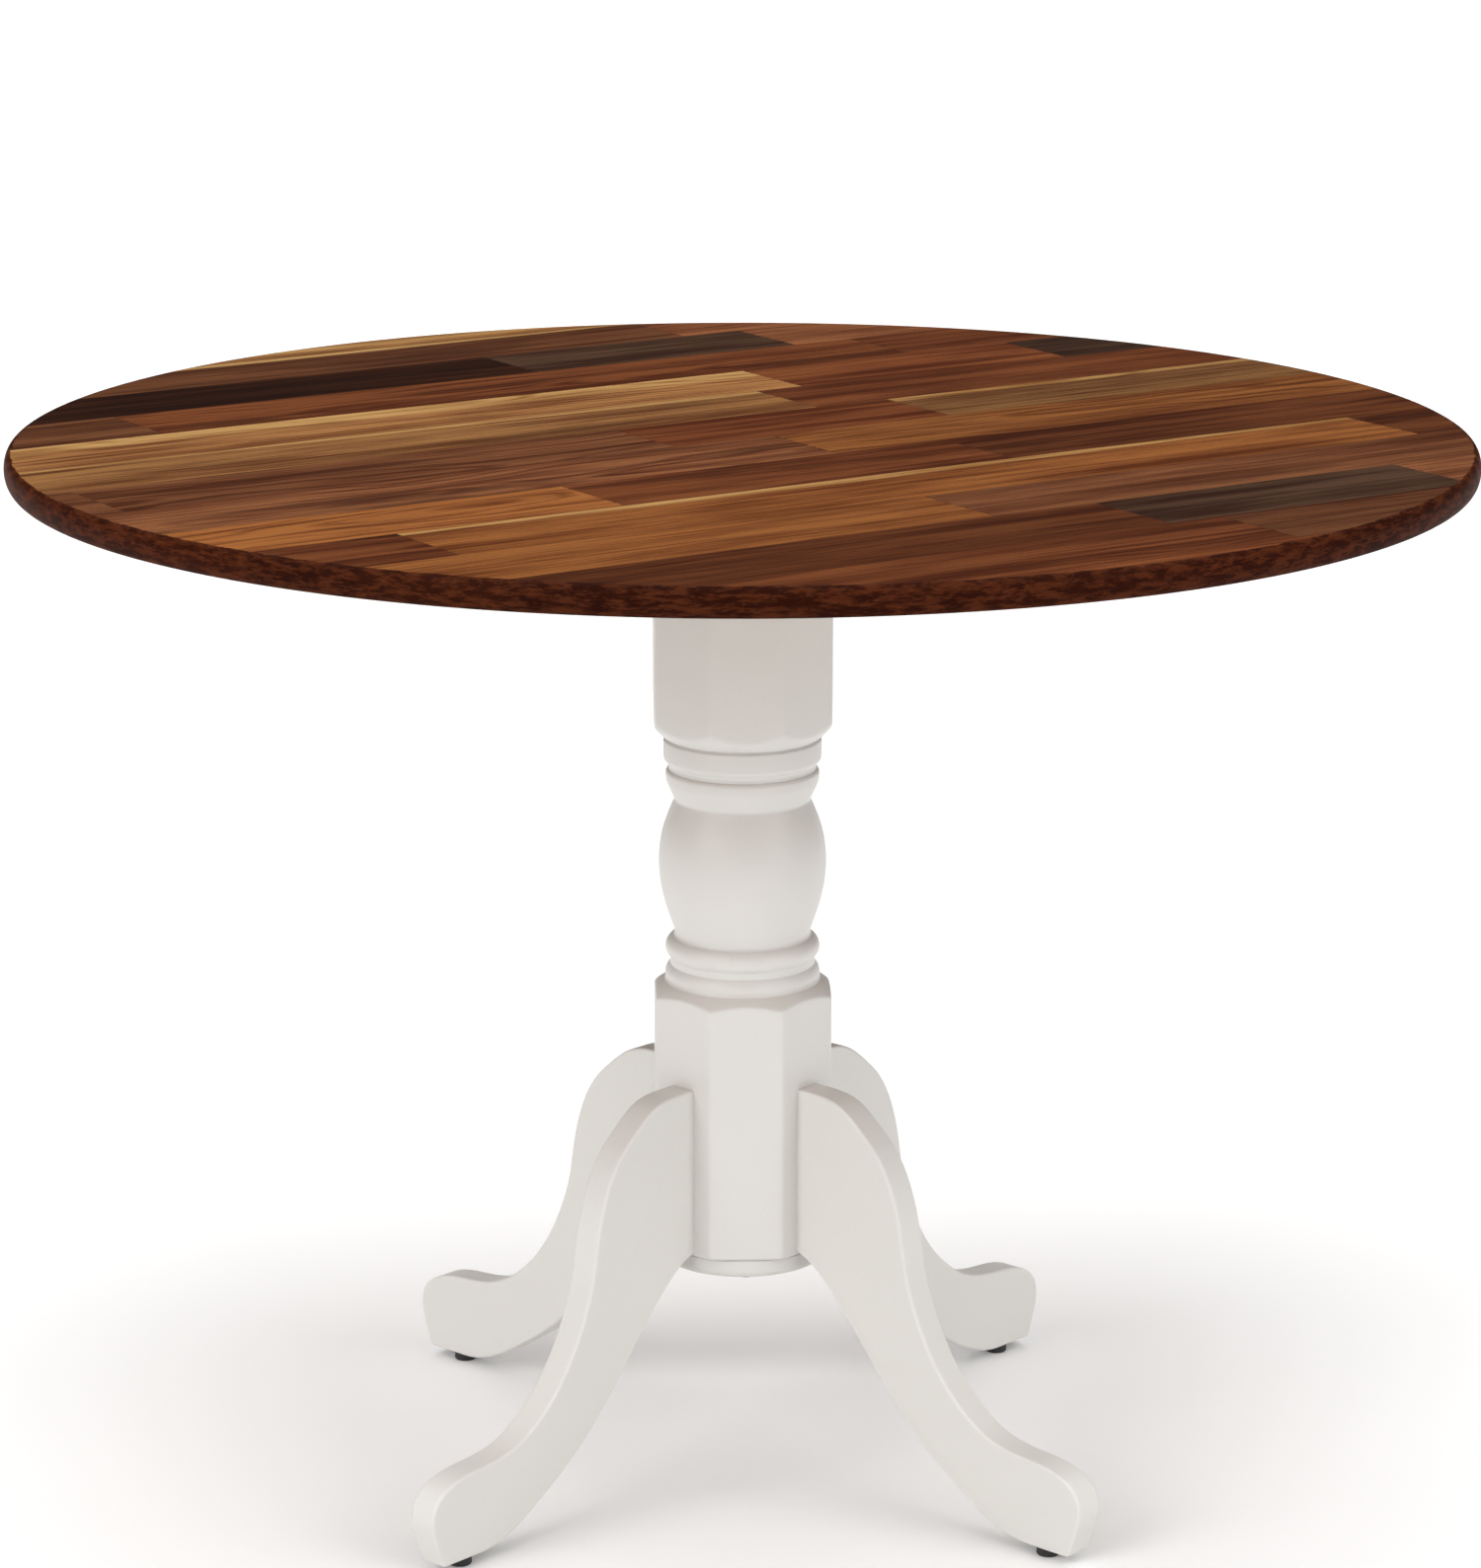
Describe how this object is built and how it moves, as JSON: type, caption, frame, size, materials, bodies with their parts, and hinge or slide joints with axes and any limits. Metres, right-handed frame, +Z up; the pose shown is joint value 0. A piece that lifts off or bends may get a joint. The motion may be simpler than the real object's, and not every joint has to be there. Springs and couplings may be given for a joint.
{
  "type": "tilt top table",
  "caption": "Round butcher-block top on tilting battens and block, over an eight-sided turned column with cabriole legs and levelling glides.",
  "frame": {"origin": "on the column's axis at floor level", "axes": "+Z up; the legs stand on the diagonals between X and Y, with the front of the table towards -Y"},
  "size_m": [1.0159, 1.0159, 0.748],
  "materials": {
    "paint": "off-white satin paint on wood",
    "walnut": "satin lacquer on walnut butcher block",
    "birch": "matt varnish on birch",
    "brass": "satin brass",
    "steel": "zinc-plated steel",
    "black": "moulded black plastic",
    "felt": "green wool felt"
  },
  "bodies": {
    "base": {"column": "paint", "base_cap": "paint", "cap_screws": "steel", "leg_front_left": "paint", "leg_front_right": "paint", "leg_back_right": "paint", "leg_back_left": "paint", "leg_bolts": "steel", "leg_washers": "steel", "leg_nuts": "steel", "glide_inserts": "brass", "tilt_block": "birch", "block_screws": "steel", "felt_pads": "felt", "pivot_inserts": "brass", "pivot_bolts": "steel", "strike_plate": "brass", "strike_screws": "brass"},
    "top": {"table_top": "walnut", "batten_left": "birch", "batten_right": "birch", "batten_screws": "steel", "pivot_bushes": "brass", "catch_case": "brass", "catch_plug": "brass", "catch_spring": "steel", "catch_screws": "brass"},
    "catch": {"catch_bolt": "brass", "catch_knob": "brass"},
    "foot_front_left": {"glide_front_left": "black", "stem_front_left": "steel"},
    "foot_front_right": {"glide_front_right": "black", "stem_front_right": "steel"},
    "foot_back_right": {"glide_back_right": "black", "stem_back_right": "steel"},
    "foot_back_left": {"glide_back_left": "black", "stem_back_left": "steel"}
  },
  "joints": [
    {"name": "top_tilt", "type": "hinge", "parent": "base", "child": "top", "pos_m": [0.054, -0.09353, 0.709], "axis": [0.866, 0.5, 0], "range_deg": [0, 90]},
    {"name": "catch_slide", "type": "slide", "parent": "top", "child": "catch", "axis": [0.5, -0.866, 0], "range_m": [0, 0.014]},
    {"name": "foot_front_left_level", "type": "slide", "parent": "base", "child": "foot_front_left", "axis": [0, 0, -1], "range_m": [0, 0.008]},
    {"name": "foot_front_right_level", "type": "slide", "parent": "base", "child": "foot_front_right", "axis": [0, 0, -1], "range_m": [0, 0.008]},
    {"name": "foot_back_right_level", "type": "slide", "parent": "base", "child": "foot_back_right", "axis": [0, 0, -1], "range_m": [0, 0.008]},
    {"name": "foot_back_left_level", "type": "slide", "parent": "base", "child": "foot_back_left", "axis": [0, 0, -1], "range_m": [0, 0.008]}
  ]
}
